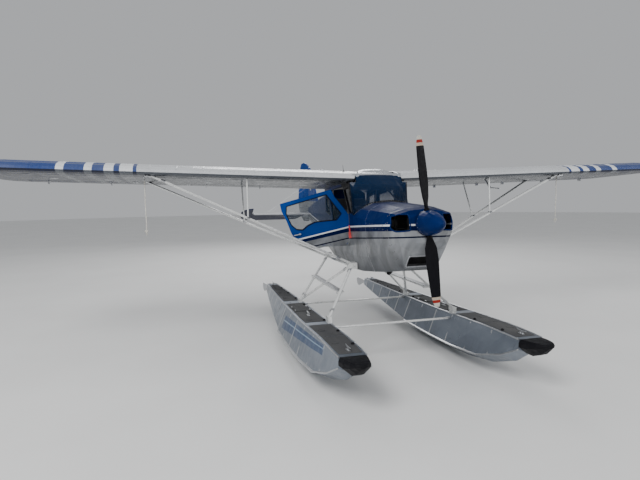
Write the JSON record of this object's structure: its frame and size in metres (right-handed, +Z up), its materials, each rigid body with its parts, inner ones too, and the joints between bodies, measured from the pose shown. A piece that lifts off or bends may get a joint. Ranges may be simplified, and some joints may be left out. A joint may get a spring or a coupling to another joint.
{
  "type": "floatplane",
  "caption": "High-wing strut-braced light floatplane on twin floats with two tandem seats, an open right door, a propeller and moving control surfaces.",
  "frame": {"origin": "on the ground between the float keels, at the middle of the bounding box", "axes": "+X towards the nose, +Y towards the left wing tip, +Z up"},
  "size_m": [7.3103, 11.0194, 3.105],
  "materials": {
    "blue_paint": "gloss",
    "silver_paint": "gloss",
    "wing_cloth": "satin",
    "bare_aluminium": "satin",
    "strut_paint": "gloss",
    "black_paint": "satin",
    "bumper_rubber": "matte",
    "clear_glass": "gloss",
    "engine_iron": "matte",
    "seat_fabric": "matte",
    "panel_plastic": "matte",
    "rope_fibre": "matte"
  },
  "bodies": {
    "airframe": {"nose_bowl": "blue_paint", "cowl_upper": "blue_paint", "boot_deck": "blue_paint", "cabin_side_left": "blue_paint", "cabin_side_right": "blue_paint", "cabin_roof": "blue_paint", "cowl_lower": "silver_paint", "belly": "silver_paint", "firewall": "bare_aluminium", "pitot": "bare_aluminium", "engine_block": "engine_iron", "windshield": "clear_glass", "skylight": "clear_glass", "quarter_window_left": "clear_glass", "quarter_window_right": "clear_glass", "main_window_left": "clear_glass", "rear_window_left": "clear_glass", "rear_window_right": "clear_glass", "instrument_panel": "panel_plastic", "front_seat": "seat_fabric", "rear_seat": "seat_fabric", "control_stick": "black_paint", "wing_left": "wing_cloth", "stabilizer_left": "wing_cloth", "lift_strut_front_left": "strut_paint", "lift_strut_rear_left": "strut_paint", "float_struts_left": "strut_paint", "float_left": "bare_aluminium", "bumper_left": "bumper_rubber", "wing_rope_left": "rope_fibre", "wing_right": "wing_cloth", "stabilizer_right": "wing_cloth", "lift_strut_front_right": "strut_paint", "lift_strut_rear_right": "strut_paint", "float_struts_right": "strut_paint", "float_right": "bare_aluminium", "bumper_right": "bumper_rubber", "wing_rope_right": "rope_fibre", "rear_fuselage": "wing_cloth", "fin": "wing_cloth", "spreader_front": "strut_paint", "spreader_rear": "strut_paint"},
    "propeller": {"propeller": "black_paint", "spinner": "blue_paint"},
    "door": {"door_frame": "blue_paint", "door_window": "clear_glass"},
    "rudder": {"rudder": "wing_cloth"},
    "elevators": {"elevator_left": "wing_cloth", "elevator_right": "wing_cloth"},
    "flap_left": {"flap_left": "wing_cloth"},
    "aileron_left": {"aileron_left": "wing_cloth"},
    "water_rudder_yoke_left": {"water_rudder_yoke_left": "bare_aluminium"},
    "water_rudder_left": {"water_rudder_left": "bare_aluminium"},
    "flap_right": {"flap_right": "wing_cloth"},
    "aileron_right": {"aileron_right": "wing_cloth"},
    "water_rudder_yoke_right": {"water_rudder_yoke_right": "bare_aluminium"},
    "water_rudder_right": {"water_rudder_right": "bare_aluminium"}
  },
  "joints": [
    {"name": "propeller_spin", "type": "hinge", "parent": "airframe", "child": "propeller", "pos_m": [2.89, 0, 1.98], "axis": [1, 0, 0], "continuous": true},
    {"name": "door_hinge", "type": "hinge", "parent": "airframe", "child": "door", "pos_m": [1.175, -0.413, 1.98], "axis": [0.1091, -0.0694, 0.9916], "range_deg": [-92, 0]},
    {"name": "aileron_left_hinge", "type": "hinge", "parent": "airframe", "child": "aileron_left", "pos_m": [0.08307, 3.83948, 2.60356], "axis": [0, 0.9995, 0.0332], "range_deg": [-20, 20]},
    {"name": "aileron_right_hinge", "type": "hinge", "parent": "airframe", "child": "aileron_right", "pos_m": [0.08307, -3.83948, 2.60356], "axis": [0, 0.9995, -0.0332], "range_deg": [-20, 20]},
    {"name": "flap_left_hinge", "type": "hinge", "parent": "airframe", "child": "flap_left", "pos_m": [0.08307, 1.57573, 2.52847], "axis": [0, 0.9995, 0.0332], "range_deg": [-35, 0]},
    {"name": "flap_right_hinge", "type": "hinge", "parent": "airframe", "child": "flap_right", "pos_m": [0.08307, -1.57573, 2.52847], "axis": [0, 0.9995, -0.0332], "range_deg": [-35, 0]},
    {"name": "elevator_hinge", "type": "hinge", "parent": "airframe", "child": "elevators", "pos_m": [-3.08, 0, 1.93], "axis": [0, 1, 0], "range_deg": [-4, 46]},
    {"name": "rudder_hinge", "type": "hinge", "parent": "airframe", "child": "rudder", "pos_m": [-3.16, 0, 2.38], "axis": [0, 0, 1], "range_deg": [-40, 10]},
    {"name": "water_rudder_left_steer", "type": "hinge", "parent": "airframe", "child": "water_rudder_yoke_left", "pos_m": [-2.108, 1.086, 0.39], "axis": [0, 0, 1], "range_deg": [-48, 12]},
    {"name": "water_rudder_right_steer", "type": "hinge", "parent": "airframe", "child": "water_rudder_yoke_right", "pos_m": [-2.108, -1.086, 0.39], "axis": [0, 0, 1], "range_deg": [-48, 12]},
    {"name": "water_rudder_left_lift", "type": "hinge", "parent": "water_rudder_yoke_left", "child": "water_rudder_left", "pos_m": [-2.17172, 1.0653, 0.39], "axis": [-0.309, 0.9511, 0], "range_deg": [-85, 0]},
    {"name": "water_rudder_right_lift", "type": "hinge", "parent": "water_rudder_yoke_right", "child": "water_rudder_right", "pos_m": [-2.17172, -1.1067, 0.39], "axis": [-0.309, 0.9511, 0], "range_deg": [-85, 0]}
  ],
  "couplings": [
    {"joint": "aileron_right_hinge", "follows": "aileron_left_hinge", "ratio": -1},
    {"joint": "flap_right_hinge", "follows": "flap_left_hinge", "ratio": 1},
    {"joint": "water_rudder_left_steer", "follows": "rudder_hinge", "ratio": 1.2},
    {"joint": "water_rudder_right_steer", "follows": "rudder_hinge", "ratio": 1.2},
    {"joint": "water_rudder_right_lift", "follows": "water_rudder_left_lift", "ratio": 1}
  ]
}
